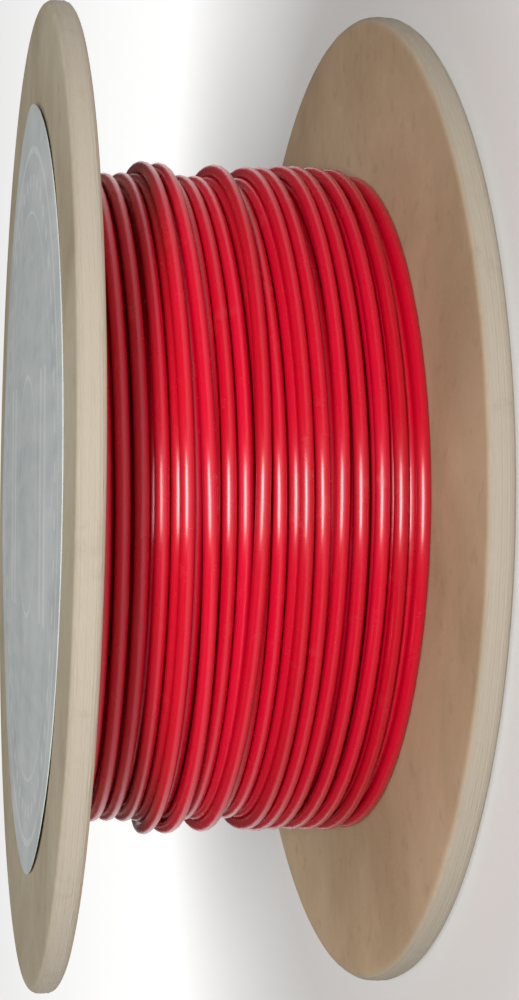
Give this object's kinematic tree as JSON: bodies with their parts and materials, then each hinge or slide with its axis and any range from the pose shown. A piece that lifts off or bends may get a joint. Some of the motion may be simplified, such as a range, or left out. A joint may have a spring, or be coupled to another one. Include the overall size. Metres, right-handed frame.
{
  "type": "wire spool",
  "caption": "Fibreboard reel with two round flanges and a tube barrel, wound with red insulated wire, bolted through and labelled on one face.",
  "frame": {"origin": "centre of the lower flange's outer face, on the reel's axis", "axes": "+Z along the reel's axis, from the lower flange to the labelled upper flange; +Y points to the side where the wire's outer end is taped down"},
  "size_m": [0.165, 0.165, 0.0589],
  "materials": {
    "board": "matte pressed fibreboard, paler and rough at the rim",
    "liner": "smooth tan kraft liner, matte",
    "tube": "spiral-wound kraft tube, matte",
    "wrap": "smooth kraft wrap, matte",
    "steel": "zinc plated, satin",
    "insulation": "red extruded PVC, glossy",
    "copper": "bare stranded copper, bright",
    "tape": "creped masking tape, matte",
    "label": "silver-grey printed label, satin"
  },
  "bodies": {
    "root": {"lower_flange_board": "board", "lower_flange_outer_liner": "liner", "lower_flange_inner_liner": "liner", "upper_flange_board": "board", "upper_flange_outer_liner": "liner", "upper_flange_inner_liner": "liner", "barrel_tube": "tube", "barrel_wrap": "wrap", "lower_arbor_ferrule": "steel", "upper_arbor_ferrule": "steel", "tie_bolts": "steel", "tie_bolt_washers": "steel", "tee_nuts": "steel", "wire_winding": "insulation", "wire_start_end": "insulation", "wire_finish_end": "insulation", "start_conductor": "copper", "finish_conductor": "copper", "finish_tape": "tape", "flange_label": "label"}
  },
  "joints": []
}
